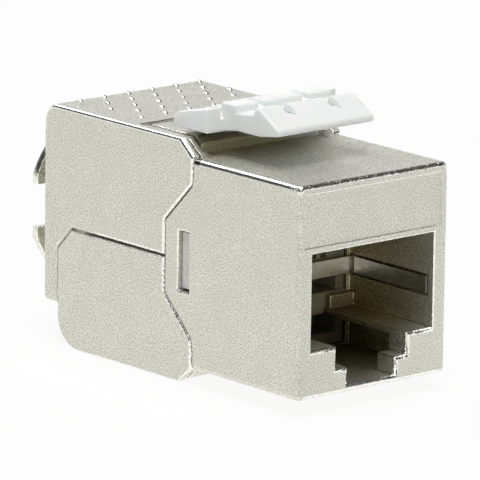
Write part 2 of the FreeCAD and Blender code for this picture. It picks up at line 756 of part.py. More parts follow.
def make_circuit_board():
    """Upright board between the contacts and the wire blades."""
    body = new_body("circuit_board")
    plate = outline(body, "BoardOutline", "XZ_Plane", box_corners(
        "-(insert_half - board_margin)", "insert_half - board_margin",
        "insert_low + board_margin", "insert_high - board_margin"), "board_front")
    pad(body, "Board", plate, "board_thickness")
    for index in range(CONTACTS):
        place = contact_place(index)
        hole = outline(body, "PinOutline%d" % (index + 1), "XZ_Plane", box_corners(
            place + " - contact_width / 2 - contact_play", place + " + contact_width / 2 + contact_play",
            "contact_run - contact_thickness - contact_play", "contact_run + contact_play"), "board_front")
        pocket(body, "PinHole%d" % (index + 1), hole, "board_thickness")
    return body


def make_idc_block():
    """Plastic block round the wire blades, with one slot for each blade."""
    body = new_body("idc_block")
    block = outline(body, "BlockOutline", "XZ_Plane", box_corners(
        "-insert_half", "insert_half", "insert_low", "insert_high"), "board_rear")
    pad(body, "Block", block, "core_end - board_rear")
    for index in range(2 * BLADES_PER_ROW):
        place = blade_place(index)
        row = blade_row(index)
        slot = outline(body, "SlotOutline%d" % (index + 1), "XZ_Plane", box_corners(
            place + " - blade_width / 2 - blade_play", place + " + blade_width / 2 + blade_play",
            row + " - blade_thickness / 2 - blade_play", row + " + blade_thickness / 2 + blade_play"),
            "board_rear")
        pocket(body, "Slot%d" % (index + 1), slot, "core_end - board_rear")
        outer = "insert_high + 1" if index < BLADES_PER_ROW else "insert_low - 1"
        inner = row + (" - 0.6" if index < BLADES_PER_ROW else " + 0.6")
        way = outline(body, "WireWayOutline%d" % (index + 1), "XZ_Plane", box_corners(
            place + " - blade_slot", place + " + blade_slot", inner, outer),
            "core_end - blade_slot_depth")
        pocket(body, "WireWay%d" % (index + 1), way, "blade_slot_depth")
    return body


def make_idc_blade(index):
    """Forked wire blade: the wire is pushed into its slot from the cable side."""
    body = new_body("idc_blade_%d" % (index + 1))
    place = blade_place(index)
    fork = outline(body, "ForkOutline", "XY_Plane", [
        (place + " - blade_width / 2", "board_rear + 0.05"),
        (place + " + blade_width / 2", "board_rear + 0.05"),
        (place + " + blade_width / 2", "blade_tip - 0.4"),
        (place + " + blade_width / 3", "blade_tip"),
        (place + " + blade_slot / 2", "blade_tip - 0.7"),
        (place + " + blade_slot / 2", "blade_tip - blade_slot_depth"),
        (place + " - blade_slot / 2", "blade_tip - blade_slot_depth"),
        (place + " - blade_slot / 2", "blade_tip - 0.7"),
        (place + " - blade_width / 3", "blade_tip"),
        (place + " - blade_width / 2", "blade_tip - 0.4"),
    ], blade_row(index) + " - blade_thickness / 2")
    pad(body, "Fork", fork, "blade_thickness")
    return body


def make_wire_cap():
    """Plastic cap behind the blades: a round pocket for the cable, and wire guides up and down."""
    body = new_body("wire_cap")
    block = outline(body, "BlockOutline", "XZ_Plane", box_corners(
        "-cap_half", "cap_half", "plate_over + cap_margin", "plate_under - cap_margin"), "core_end + cap_gap")
    pad(body, "Block", block, "cap_rear - core_end - cap_gap")
    cable = disc(body, "CableOutline", "XZ_Plane", ("0", "collar_height"), "cable_radius + cap_play",
                 "cap_rear - cap_pocket")
    pocket(body, "CablePocket", cable, "cap_pocket")
    for index in range(2 * BLADES_PER_ROW):
        place = blade_place(index)
        upper = index < BLADES_PER_ROW
        near = "collar_height + 1" if upper else "collar_height - 1"
        far = "crown" if upper else "belly"
        guide = outline(body, "GuideOutline%d" % (index + 1), "XZ_Plane", box_corners(
            place + " - cap_guide / 2", place + " + cap_guide / 2", near, far), "core_end + cap_gap")
        pocket(body, "Guide%d" % (index + 1), guide, "cap_guide + 0.5")
    return body


bodies = [make_front_housing(), make_upper_wing(), make_lower_wing(), make_latch(), make_shield_spring()]
bodies.append(make_contact_carrier())
bodies.extend(make_contact(index) for index in range(CONTACTS))
bodies.append(make_circuit_board())
bodies.append(make_idc_block())
bodies.extend(make_idc_blade(index) for index in range(2 * BLADES_PER_ROW))
bodies.append(make_wire_cap())

doc.recompute()
for item in doc.Objects:
    if "Invalid" in item.State or "Error" in item.State:
        raise RuntimeError("%s did not build: %s" % (item.Label, item.State))
os.makedirs("parts", exist_ok=True)
for body in bodies:
    if body.Shape.isNull() or not body.Shape.isValid():
        raise RuntimeError(body.Label + " has no valid shape")
    print(body.Label, len(body.Shape.Solids), round(body.Shape.Volume, 2))
    body.Shape.exportStep(os.path.join("parts", body.Label + ".step"))
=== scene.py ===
# %% [markdown]
# # Dressing a shielded keystone jack
# The jack's solids come from a CAD model, which gives every piece its true size and place. This lesson
# gives them their looks: cast and tumbled metal, milky plastic, gold springs and rolled steel.
# First the frame is loaded, and its box is kept, because nothing added later may make the jack bigger.

# %% Load the frame
import math

import bmesh
import bpy
import numpy as np
from mathutils import Matrix, Vector


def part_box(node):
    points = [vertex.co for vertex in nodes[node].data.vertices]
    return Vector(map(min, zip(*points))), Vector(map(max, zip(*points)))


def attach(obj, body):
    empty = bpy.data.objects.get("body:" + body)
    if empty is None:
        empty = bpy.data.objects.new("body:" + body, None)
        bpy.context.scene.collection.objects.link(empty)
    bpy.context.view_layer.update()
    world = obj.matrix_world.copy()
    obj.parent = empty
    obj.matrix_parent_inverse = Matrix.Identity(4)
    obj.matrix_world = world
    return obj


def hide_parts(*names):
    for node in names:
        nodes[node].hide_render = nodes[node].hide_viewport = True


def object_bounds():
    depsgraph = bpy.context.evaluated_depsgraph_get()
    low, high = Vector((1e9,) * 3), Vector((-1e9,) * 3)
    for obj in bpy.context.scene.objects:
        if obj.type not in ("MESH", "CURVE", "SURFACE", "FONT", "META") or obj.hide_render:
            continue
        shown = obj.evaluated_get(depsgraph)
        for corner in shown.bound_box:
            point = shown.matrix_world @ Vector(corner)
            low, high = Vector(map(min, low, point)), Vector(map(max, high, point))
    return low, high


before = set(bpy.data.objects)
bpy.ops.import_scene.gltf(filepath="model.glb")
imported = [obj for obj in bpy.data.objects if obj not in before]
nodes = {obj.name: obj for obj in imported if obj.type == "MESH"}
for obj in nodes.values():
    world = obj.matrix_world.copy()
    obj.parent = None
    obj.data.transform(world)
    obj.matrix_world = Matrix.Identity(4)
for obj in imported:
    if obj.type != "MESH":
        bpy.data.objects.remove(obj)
cad_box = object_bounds()
MM = 0.001
print(len(nodes), "CAD nodes, box in mm:", [[round(x / MM, 2) for x in corner] for corner in cad_box])

# %% [markdown]
# A shader is a graph of nodes, and a long graph is hard to read as a list of links. One small class
# wraps an output socket, so that shader maths reads like ordinary maths: `1 - mask * 0.4` adds the
# Math nodes by itself. Another class holds the tree and adds any other node with one method.

# %% Shader maths as Python expressions
class Signal:
    """An output socket of a node, with the operators that shader maths needs."""

    def __init__(self, finish, socket):
        self.finish = finish
        self.socket = socket

    def math(self, operation, *values, **settings):
        settings["operation"] = operation
        return self.finish.add("ShaderNodeMath", settings, dict(enumerate(values)))

    def __add__(self, other):
        return self.math("ADD", self, other)

    def __sub__(self, other):
        return self.math("SUBTRACT", self, other)

    def __rsub__(self, other):
        return self.math("SUBTRACT", other, self)

    def __mul__(self, other):
        return self.math("MULTIPLY", self, other)

    def __abs__(self):
        return self.math("ABSOLUTE", self)

    __radd__ = __add__
    __rmul__ = __mul__


class Finish:
    """A material whose node tree is built up step by step."""

    def __init__(self, name):
        self.material = bpy.data.materials.new(name)
        self.material.use_nodes = True
        self.material.node_tree.nodes.clear()

    def add(self, kind, settings=None, inputs=None, output=0):
        """Add a node: settings are set first, then its sockets get values or links."""
        tree = self.material.node_tree
        node = tree.nodes.new(kind)
        for key, value in (settings or {}).items():
            setattr(node, key, value)
        for key, value in (inputs or {}).items():
            if isinstance(value, Signal):
                tree.links.new(value.socket, node.inputs[key])
            else:
                node.inputs[key].default_value = value
        return Signal(self, node.outputs[output])

    def place(self):
        """The point being shaded, in the jack's own frame."""
        return self.add("ShaderNodeTexCoord", output="Object")

    def along(self, axis):
        """One coordinate of the point being shaded, in millimetres."""
        return self.add("ShaderNodeSeparateXYZ", None, {0: self.place()}, output=axis) * (1 / MM)

    def noise(self, size, detail=3.0, rough=0.55):
        """Cloudy noise whose lumps are about as wide as size, given in millimetres."""
        inputs = {"Vector": self.place(), "Scale": 1 / (size * MM), "Detail": detail, "Roughness": rough}
        return self.add("ShaderNodeTexNoise", None, inputs)

    def ramp(self, signal, low, high, to_low=0.0, to_high=1.0):
        """Signal between low and high, stretched from to_low to to_high and held there outside."""
        inputs = {0: signal, 1: low, 2: high, 3: to_low, 4: to_high}
        return self.add("ShaderNodeMapRange", {"clamp": True}, inputs)

    def above(self, axis, start, full):
        """0 below start and 1 above full along an axis, in millimetres."""
        return self.ramp(self.along(axis), start, full)

    def below(self, axis, full, end):
        """1 below full and 0 above end along an axis, in millimetres."""
        return self.ramp(self.along(axis), full, end, 1.0, 0.0)

    def mix(self, factor, first, second):
        """A colour between two others."""
        inputs = {0: factor, 6: first, 7: second}
        return self.add("ShaderNodeMix", {"data_type": "RGBA"}, inputs, output=2)

    def bump(self, height, depth, strength=1.0, under=None):
        """A surface that rises by depth, in millimetres, where height goes from 0 to 1."""
        inputs = {"Height": height, "Distance": depth * MM, "Strength": strength}
        if under is not None:
            inputs["Normal"] = under
        return self.add("ShaderNodeBump", None, inputs)

    def surface(self, **inputs):
        """Close the tree with a Principled shader. Words become its socket names: base_color, roughness."""
        named = {key.replace("_", " ").title(): value for key, value in inputs.items()}
        named = {("IOR" if key == "Ior" else key): value for key, value in named.items()}
        shader = self.add("ShaderNodeBsdfPrincipled", None, named)
        self.add_output(shader)
        return self.material

    def add_output(self, shader):
        tree = self.material.node_tree
        node = tree.nodes.new("ShaderNodeOutputMaterial")
        tree.links.new(shader.socket, node.inputs["Surface"])


def shade(red, green, blue):
    """A colour as a shader takes it."""
    return (red, green, blue, 1.0)


print("shader helpers ready")

# %% [markdown]
# ## The cast metal
# The block and both wings are zinc castings. They are blasted to an even satin and then plated with
# nickel, so the flats have a fine sandy grain of about a tenth of a millimetre. A second, wider noise
# makes the plating a little uneven. The grain is bump, because it is far too fine to be modelled.
#
# Shade is painted into the metal's colour a few millimetres inside the port, dark and brownish and
# darkest low in its depth, and so it is in the corner under the latch. Masks from the jack's own
# coordinates bring that painted shade in.

# %% Blasted nickel
WALL_START = 6.5        # the side walls lie further out than this, on both sides
PORT_LOW, PORT_HIGH = 0.45, 12.7
BLOCK_TOP = 16.0
TOP_EDGES = 15.2        # edges higher than this belong to the top
WINDOW_LOW, WINDOW_HIGH = 5.7, 10.35
COLLAR_START = 29.46
GRAIN_SIZE, PATCH_SIZE, DENT_SIZE, NICK_SIZE = 0.105, 2.6, 0.2, 0.16
GRAIN_DEPTH = 0.07
LATCH_SHADE = 0.7              # how much the painted shade under the latch dulls the metal


def painted_port_shade(finish):
    """Where shade is painted in the port: 0 outside it, rising to 1 a few millimetres inside it."""
    depth = finish.above("Y", 0.4, 6.0) * finish.below("Y", 11.0, 11.5)
    across = finish.ramp(abs(finish.along("X")), WALL_START, WALL_START + 0.1, 1.0, 0.0)
    height = finish.above("Z", PORT_LOW - 0.1, PORT_LOW) * finish.below("Z", PORT_HIGH, PORT_HIGH + 0.1)
    return depth * across * height


def shaded_corner(finish):
    """Painted shade: 1 under the latch, on the deck's front and the corner below, fading over the block's
    top.
    """
    along = finish.above("Y", 8.0, 12.9) * finish.below("Y", 14.6, 15.0)
    across = finish.above("X", -6.9, -5.2) * finish.below("X", 2.0, 5.5)
    return along * across * finish.above("Z", BLOCK_TOP - 0.1, BLOCK_TOP)


def satin(finish):
    """Colour, roughness and height of the blasted plating, which all change a little from place to place.

    The round collar at the rear wasn't blasted, so it is nearly a mirror.
    """
    grain = finish.noise(GRAIN_SIZE, detail=2.0, rough=0.65)
    patches = finish.noise(PATCH_SIZE, detail=4.0)
    collar = finish.above("Y", COLLAR_START, COLLAR_START + 0.1)
    colour = finish.mix(finish.ramp(grain, 0.37, 0.57), shade(0.52, 0.51, 0.43), shade(1.0, 1.0, 0.94))
    colour = finish.mix(finish.ramp(patches, 0.3, 0.7, 0.0, 0.25), colour, shade(0.74, 0.73, 0.64))
    roughness = 0.4 + finish.ramp(grain, 0.3, 0.7, -0.05, 0.07) + finish.ramp(patches, 0.3, 0.7, -0.03, 0.04)
    return colour, roughness - 0.22 * collar, grain * (1 - 0.8 * collar)


def with_painted_shade(finish, colour, grain):
    """Colour and metallic share of the plating, with shade painted in.

    Shade is painted dark inside the port, darkest in the port's depth, and dull brown under the latch.
    """
    grit = finish.ramp(grain, 0.38, 0.62)
    deep_shade = finish.above("Y", 5.5, 9.5) * finish.below("Z", 3.4, 5.0)
    # Painted shade in the port: dark olive walls, darker and browner low in its depth.
    walls = finish.mix(grit, shade(0.36, 0.32, 0.19), shade(0.82, 0.76, 0.54))
    walls = finish.mix(deep_shade, walls, finish.mix(grit, shade(0.17, 0.13, 0.08), shade(0.36, 0.30, 0.20)))
    colour = finish.mix(painted_port_shade(finish), colour, walls)
    # Painted shade under the latch: dull brown, and the metal there is made less metallic.
    corner = finish.mix(grit, shade(0.31, 0.27, 0.15), shade(0.50, 0.45, 0.29))
    latch_shade = shaded_corner(finish)
    return finish.mix(latch_shade, colour, corner), 1 - LATCH_SHADE * latch_shade


def blasted_nickel():
    finish = Finish("blasted_nickel")
    colour, roughness, grain = satin(finish)
    colour, metallic = with_painted_shade(finish, colour, grain)
    normal = finish.bump(grain, GRAIN_DEPTH)
    return finish.surface(base_color=colour, metallic=metallic, roughness=roughness, normal=normal)


nickel = blasted_nickel()
print("made", nickel.name)

# %% [markdown]
# Tumbling the castings rubs their edges bright, and the plating is smoother there but finely dented, so
# an edge mirrors the room in glints of white and dark. The rounded edges get a material of their own:
# the same metal, nearly polished, with dents of a fifth of a millimetre that tilt the mirror about.

# %% Rubbed edges
def on_sides(finish):
    """1 on the outer sides of the castings, and 0 nearer the middle."""
    return finish.ramp(abs(finish.along("X")), WALL_START, WALL_START + 0.3)


def unworn_edges(finish):
    """1 on the upright corners of the front and of the rear, which tumbling hardly touched."""
    ends = finish.below("Y", 0.45, 0.6) + finish.above("Y", 23.0, 23.5)
    return on_sides(finish) * ends * finish.below("Z", TOP_EDGES, TOP_EDGES + 0.4)


def smooth_edges(finish):
    """1 on the long edges beside the top and round the rear of the crown, which are rubbed smoothest."""
    top = finish.above("Z", TOP_EDGES, TOP_EDGES + 0.4) * finish.above("Y", 0.6, 1.2)
    return top * (1 - (1 - on_sides(finish)) * (1 - finish.above("Y", 18.0, 18.5)))


def seam_lip(finish):
    """1 on the block's own edge along the seam, apart from the side windows, which lie in front of it."""
    low = finish.above("Z", WINDOW_LOW - 0.3, WINDOW_LOW - 0.2)
    high = finish.below("Z", WINDOW_HIGH + 0.2, WINDOW_HIGH + 0.3)
    window = low * high * finish.below("Y", 13.8, 13.9)
    return on_sides(finish) * finish.above("Y", 11.2, 11.3) * (1 - window)


def rubbed_nickel(name, lip_shade=0.0):
    """The rubbed edges of a casting. Lip_shade darkens the edge that the seam keeps in shadow."""
    finish = Finish(name)
    colour, roughness, grain = satin(finish)
    dents = finish.noise(DENT_SIZE, detail=2.0, rough=0.5)
    nicks = finish.noise(NICK_SIZE, detail=2.0, rough=0.6)
    unworn = unworn_edges(finish)
    bright = finish.mix(finish.ramp(nicks, 0.5, 0.7), shade(1.0, 0.995, 0.96), shade(0.74, 0.73, 0.66))
    colour, metallic = with_painted_shade(finish, finish.mix(unworn, bright, colour), grain)
    if lip_shade:
        colour = finish.mix(lip_shade * seam_lip(finish), colour, shade(0.10, 0.09, 0.06))
    roughness = unworn * roughness + (1 - unworn) * finish.ramp(nicks, 0.35, 0.7, 0.12, 0.32)
    height = unworn * grain + (1 - unworn) * (1 - 0.85 * smooth_edges(finish)) * dents
    normal = finish.bump(height, GRAIN_DEPTH)
    return finish.surface(base_color=colour, metallic=metallic, roughness=roughness, normal=normal)


rubbed = rubbed_nickel("rubbed_nickel")
rubbed_block = rubbed_nickel("rubbed_block", lip_shade=0.9)
print("made", rubbed.name, rubbed_block.name)

# %% [markdown]
# ## Plastics, gold and steel
# The latch is a milky plastic that lets a little light in. The insert and the wire block are ordinary
# moulded plastics with a faint texture. Contacts are gold over bronze, and the strip is rolled steel.

# %% Moulded plastics
def moulded(name, colour, darker, rough=0.42, milky=0.0, painted_low_shade=0.0):
    """Moulded plastic: a faint texture from the mould, flow marks, and some light inside it if milky.

    This argument paints shade: it darkens what lies lower than the contact ledge.
    """
    finish = Finish(name)
    texture = finish.noise(0.09, detail=2.0)
    flow = finish.noise(3.2, detail=3.0)
    base = finish.mix(finish.ramp(flow, 0.35, 0.7), colour, darker)
    if painted_low_shade:
        base = finish.mix(painted_low_shade * finish.below("Z", 2.8, 3.6), base, shade(0.06, 0.045, 0.025))
    roughness = rough + finish.ramp(flow, 0.3, 0.7, -0.06, 0.08)
    normal = finish.bump(texture, 0.006, strength=0.4)
    inputs = {"base_color": base, "roughness": roughness, "normal": normal}
    if milky:
        inputs["subsurface_weight"] = milky
        inputs["subsurface_radius"] = (0.9, 1.0, 1.1)
        inputs["subsurface_scale"] = 0.7 * MM
    return finish.surface(**inputs)


milky_plastic = moulded("milky_plastic", shade(0.945, 0.97, 0.96), shade(0.90, 0.93, 0.92), 0.34, milky=0.45)
# Dark olive paints the shade deep in the port onto the white insert, darkest below the contact ledge.
shaded_insert_plastic = moulded("shaded_insert_plastic", shade(0.34, 0.32, 0.215), shade(0.27, 0.25, 0.17), 0.5, painted_low_shade=0.7)
white_plastic = moulded("white_plastic", shade(0.88, 0.88, 0.86), shade(0.80, 0.80, 0.77))
print("made", milky_plastic.name, shaded_insert_plastic.name, white_plastic.name)

# %% Springs, blades and board
def rolled(name, colour, darker, rough, squeeze):
    """Rolled or drawn metal: noise pulled out into fine lines along one axis of the jack."""
    finish = Finish(name)
    stretched = finish.add("ShaderNodeMapping", None, {"Vector": finish.place(), "Scale": squeeze})
    inputs = {"Vector": stretched, "Scale": 1 / (0.08 * MM), "Detail": 3.0}
    lines = finish.add("ShaderNodeTexNoise", None, inputs)
    tarnish = finish.noise(1.4, detail=3.0)
    base = finish.mix(finish.ramp(tarnish, 0.35, 0.7), colour, darker)
    roughness = rough + finish.ramp(lines, 0.3, 0.7, -0.08, 0.1)
    normal = finish.bump(lines, 0.004, strength=0.5)
    return finish.surface(base_color=base, metallic=1.0, roughness=roughness, normal=normal)


ALONG_Y = (1.0, 0.12, 1.0)
spring_steel = rolled("spring_steel", shade(0.70, 0.68, 0.63), shade(0.57, 0.55, 0.49), 0.33, ALONG_Y)
contact_gold = rolled("contact_gold", shade(0.90, 0.70, 0.33), shade(0.80, 0.58, 0.24), 0.25, ALONG_Y)
tinned_bronze = rolled("tinned_bronze", shade(0.74, 0.73, 0.69), shade(0.64, 0.62, 0.57), 0.35, ALONG_Y)


def board_laminate():
    """Lacquered glass laminate: the woven cloth shows faintly through the green."""
    finish = Finish("board_laminate")
    weave = finish.add("ShaderNodeTexWave", {"wave_type": "BANDS", "bands_direction": "X"},
                       {"Vector": finish.place(), "Scale": 700.0, "Distortion": 0.6}, output="Fac")
    blotch = finish.noise(1.5)
    base = finish.mix(finish.ramp(blotch, 0.35, 0.65), shade(0.045, 0.17, 0.075), shade(0.035, 0.13, 0.055))
    normal = finish.bump(weave, 0.004, strength=0.4)
    return finish.surface(base_color=base, roughness=0.3 + 0.1 * blotch, normal=normal)


laminate = board_laminate()
print("made", spring_steel.name, contact_gold.name, tinned_bronze.name, laminate.name)

# %% [markdown]
# ## From CAD solid to shell with rounded edges
# A CAD mesh is loose triangles with perfectly sharp edges, and no real casting has those. A copy of the
# mesh has its doubles merged and its flat faces joined again. Then a Bevel modifier rounds each edge
# that turns by more than 32 degrees, and gives the new faces the second material. Where edges lie close
# together, as in a slot, a wide bevel would run into its neighbour and fold the faces. So each line of
# edges has its own bevel weight, which falls with the shortest edge that it meets and with the width
# of the strip beside it. Tumbling rounds the outside corners of a casting most, so a rounding function
# gives each line the width that it would have with room enough. The Weighted Normal modifier keeps the
# large faces flat in spite of smooth shading.

# %% Copy, merge and round a node
FLAT_ANGLE = math.radians(0.6)
SHARP_ANGLE = math.radians(32)
ROOM_SHARE, CORNER_ROOM_SHARE = 0.4, 0.8
CORNER_WIDTH, CROWN_WIDTH, STEP_WIDTH, SEAM_WIDTH, EDGE_WIDTH = 0.45, 0.3, 0.28, 0.2, 0.1


def skin_of(node):
    """The node's mesh in a bmesh, merged to one skin and with its flat faces whole."""
    work = bmesh.new()
    work.from_mesh(nodes[node].data)
    bmesh.ops.remove_doubles(work, verts=work.verts, dist=0.0005 * MM)
    bmesh.ops.dissolve_limit(work, angle_limit=FLAT_ANGLE, verts=work.verts, edges=work.edges)
    for face in work.faces:
        face.material_index = 0
    return work


def carries_on(edge, vert, other):
    """Whether the other edge carries this one on past their common vertex, with only a slight turn."""
    ahead = (vert.co - edge.other_vert(vert).co).normalized()
    return ahead.dot((other.other_vert(vert).co - vert.co).normalized()) > 0.75


def room_beside(edge):
    """The shortest edge that meets this one, apart from those that carry it on."""
    lengths = [other.calc_length() for vert in edge.verts for other in vert.link_edges
               if other != edge and not carries_on(edge, vert, other)]
    return min(lengths, default=1.0)


def reach_of(vert, edge):
    """The distance from a vertex to the nearest point of an edge."""
    start, end = (corner.co for corner in edge.verts)
    share = (vert.co - start).dot(end - start) / (end - start).length_squared
    return (vert.co - start.lerp(end, min(max(share, 0.0), 1.0))).length


def room_across(edge, line, sharp):
    """The nearest sharp edge across a face from this one, so that a thin strip isn't folded over."""
    others = {other for face in edge.link_faces for other in face.edges} & sharp - line
    apart = [other for other in others if not set(other.verts) & set(edge.verts)]
    ways = [reach_of(vert, other) for other in apart for vert in edge.verts]
    ways += [reach_of(vert, edge) for other in apart for vert in other.verts]
    return min(ways, default=1.0)


def smooth_lines(sharp):
    """Sharp edges grouped into the lines, straight or round, that they make together."""
    line_of = {edge: {edge} for edge in sharp}
    for edge in sharp:
        for vert in edge.verts:
            for other in vert.link_edges:
                if other in line_of and other not in line_of[edge] and carries_on(edge, vert, other):
                    joined = line_of[edge] | line_of[other]
                    line_of.update((member, joined) for member in joined)
    return {id(line): line for line in line_of.values()}.values()


def weigh_edges(work, rounding):
    """Give each sharp line its share of the widest bevel, so far as its neighbours leave room.

    A round corner may take most of the room, because its neighbours are only narrow edges.
    """
    share = work.edges.layers.float.new("bevel_weight_edge")
    sharp = {edge for edge in work.edges
             if len(edge.link_faces) == 2 and edge.calc_face_angle(0.0) > SHARP_ANGLE}
    for line in smooth_lines(sharp):
        room = min(min(room_beside(edge), room_across(edge, line, sharp)) for edge in line) / MM
        middles = [(edge.verts[0].co + edge.verts[1].co) / (2 * MM) for edge in line]
        width = min(map(rounding, middles))
        allowed = ROOM_SHARE * room
        if width == CORNER_WIDTH:
            allowed = max(allowed, CORNER_ROOM_SHARE * room - EDGE_WIDTH)
        for edge in line:
            edge[share] = min(width, allowed) / CORNER_WIDTH


def shell_object(node, work, materials):
    """Make the bmesh a smooth object of its own."""
    mesh = bpy.data.meshes.new(node + "_shell")
    work.to_mesh(mesh)
    work.free()
    for material in materials:
        mesh.materials.append(material)
    mesh.polygons.foreach_set("use_smooth", np.ones(len(mesh.polygons), bool))
    piece = bpy.data.objects.new(node + "_shell", mesh)
    bpy.context.scene.collection.objects.link(piece)
    return piece


def round_edges(piece, segments, edge_slot):
    """Bevel the weighted edges, and keep the flats flat."""
    bevel = piece.modifiers.new("rounded_edges", "BEVEL")
    bevel.width = CORNER_WIDTH * MM
    bevel.segments = segments
    bevel.limit_method = "WEIGHT"
    bevel.use_clamp_overlap = False
    bevel.loop_slide = False
    bevel.material = edge_slot
    weights = piece.modifiers.new("flat_faces", "WEIGHTED_NORMAL")
    weights.keep_sharp = False
    weights.weight = 80


def dress(node, body, slot, rounding, *materials, segments=2, trim=None, edge_slot=-1):
    """Stand a shell in for a CAD node, its edges rounded.

    Rounding is a width in millimetres, or a function that gives the width at a point. Trim may change
    the skin first. The rounded edges take the material in edge_slot, or that of the faces beside.
    """
    work = skin_of(node)
    if trim is not None:
        trim(work)
    weigh_edges(work, rounding if callable(rounding) else lambda middle: rounding)
    piece = shell_object(node, work, materials)
    round_edges(piece, segments, edge_slot)
    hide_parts(node)
    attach(piece, body)
    print(piece.name, len(piece.data.polygons), "faces before rounding")
    return piece


# %% [markdown]
# ## The castings
# The outline of the block's front is rounder than the other edges of the castings, and the seam between
# block and wings shows as a bright line because its edges are rounded too. One bevel width for a whole
# casting would lose one of the two, so a small function per casting gives the width at each place.

# %% The block and the lower wing
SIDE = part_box("upper_wing")[1][0] / MM - 0.05
STEPS_TOP = 5.0
SEAM_START, SEAM_END = 11.5, 17.0


def block_rounding(middle):
    """Tumbling rounds the outline of the block's front most, then the port's steps and the seam."""
    on_side = abs(middle.x) > SIDE - 0.3
    if middle.y < 0.01 and (on_side or middle.z > BLOCK_TOP - 0.3 or middle.z < 0.3):
        return CORNER_WIDTH
    if middle.y < 0.01 and middle.z < STEPS_TOP:
        return STEP_WIDTH
    on_seam = on_side and middle.y > SEAM_START and not WINDOW_LOW - 0.1 < middle.z < WINDOW_HIGH + 0.1
    return SEAM_WIDTH if on_seam else EDGE_WIDTH


def wing_rounding(middle):
    """The front edges of a wing draw the seam beside the block."""
    if abs(middle.x) < SIDE or middle.y > SEAM_END:
        return EDGE_WIDTH
    return SEAM_WIDTH


def crown_rounding(middle):
    """The upper wing is roundest on the line from its nose along the crown and down the rear."""
    beyond_seam = middle.z > BLOCK_TOP - 0.5 or middle.y > SEAM_END
    return CROWN_WIDTH if abs(middle.x) > SIDE and beyond_seam else wing_rounding(middle)


def rub_long_corners(work):
    """The round corners beside the block's top are part of its skin, and get the rubbed finish."""
    for face in work.faces:
        middle = face.calc_center_median() / MM
        slanted = min(abs(face.normal.x), face.normal.z) > 0.1
        on_corner = abs(middle.x) > SIDE - 0.5 and middle.z > BLOCK_TOP - 0.5
        if slanted and on_corner and middle.y < SEAM_START + 1:
            face.material_index = 1


dress("front_housing", "jack", "cast_metal", block_rounding, nickel, rubbed_block, segments=3,
      trim=rub_long_corners, edge_slot=1)
dress("lower_wing", "lower_wing_body", "cast_metal", wing_rounding, nickel, rubbed, segments=3,
      edge_slot=1)

# %% [markdown]
# The grip nubs on the upper wing are short flat discs in the CAD model. Cast nubs are small domes that
# run out into the wing in a soft fillet, and this is what makes each one bright on one side and dark on
# the other. So the discs are cut off the wing's copy, their places are remembered, the holes are closed,
# and a dome stands in for each disc.

# %% The upper wing, and a dome for every nub
DISC_HEIGHT = 0.2 * MM
NUB_RADIUS = 0.25 * MM
NUB_HEIGHT = 0.15 * MM
NUB_FOOT = 0.12 * MM
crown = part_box("upper_wing")[1][2] - DISC_HEIGHT
nub_places = []


def shave_nubs(work):
    """Cut everything above the crown off, note the middle of each disc, and close the crown again."""
    above = [vert for vert in work.verts if vert.co.z > crown + 0.5 * DISC_HEIGHT]
    bmesh.ops.delete(work, geom=above, context="VERTS")
    rims = [edge for edge in work.edges if edge.is_boundary]
    closed = bmesh.ops.holes_fill(work, edges=rims, sides=0)["faces"]
    nub_places.extend(face.calc_center_median() for face in closed)
    bmesh.ops.dissolve_limit(work, angle_limit=FLAT_ANGLE, verts=work.verts, edges=work.edges)


def nub_nickel():
    """The nubs are smoother than the blasted crown, but not quite bright."""
    finish = Finish("nub_nickel")
    nicks = finish.noise(0.1, detail=2.0)
    colour = finish.mix(finish.ramp(nicks, 0.4, 0.65), shade(0.78, 0.775, 0.72), shade(0.60, 0.59, 0.53))
    roughness = finish.ramp(nicks, 0.35, 0.7, 0.2, 0.32)
    normal = finish.bump(nicks, 0.012)
    return finish.surface(base_color=colour, metallic=1.0, roughness=roughness, normal=normal)


def dome_field(places, rings=10, around=24):
    """Domes as surfaces of turn: height is NUB_HEIGHT * (1 - t * t) along a ring at share t of the radius.

    The last ring is a fillet: it runs out by NUB_FOOT and ends just under the crown.
    """
    share = np.sin(np.linspace(0.08, 1.0, rings) * math.pi / 2)
    radius = np.append(share * NUB_RADIUS, NUB_RADIUS + NUB_FOOT)
    height = np.append(NUB_HEIGHT * (1 - share ** 2) + 0.03 * NUB_HEIGHT, -0.05 * NUB_HEIGHT)
    turn = np.linspace(0, 2 * math.pi, around, endpoint=False)
    x = np.outer(radius, np.cos(turn))
    y = np.outer(radius, np.sin(turn))
    z = np.repeat(height[:, None], around, axis=1)
    dome = np.stack([x, y, z], axis=-1).reshape(-1, 3)
    i, j = np.meshgrid(np.arange(rings), np.arange(around), indexing="ij")
    here, beside = i * around + j, i * around + (j + 1) % around
    quads = np.stack([here, here + around, beside + around, beside], axis=-1).reshape(-1, 4)
    verts, faces = [], []
    for place in places:
        start = len(verts)
        verts += (dome + np.array([place.x, place.y, crown])).tolist()
        faces += (quads + start).tolist()
        faces.append(list(range(start, start + around)))
    return verts, faces


dress("upper_wing", "upper_wing_body", "cast_metal", crown_rounding, nickel, rubbed, segments=3,
      trim=shave_nubs, edge_slot=1)
nub_mesh = bpy.data.meshes.new("grip_nubs")
dome_verts, dome_faces = dome_field(nub_places)
nub_mesh.from_pydata(dome_verts, [], dome_faces)
nub_mesh.polygons.foreach_set("use_smooth", np.ones(len(nub_mesh.polygons), bool))
nub_mesh.materials.append(nub_nickel())
nubs = bpy.data.objects.new("grip_nubs", nub_mesh)
bpy.context.scene.collection.objects.link(nubs)
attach(nubs, "upper_wing_body")
print(len(nub_places), "nubs")

# %% [markdown]
# ## The pieces inside
# The latch, the shield's spring strip and the insert take their shapes from the CAD model, so they need
# only soft edges and a finish. The insert is white in the side windows, and in the port it gets a dark
# olive that paints the shade there. Its faces beyond the board's sides are the snap lugs, which stay white.

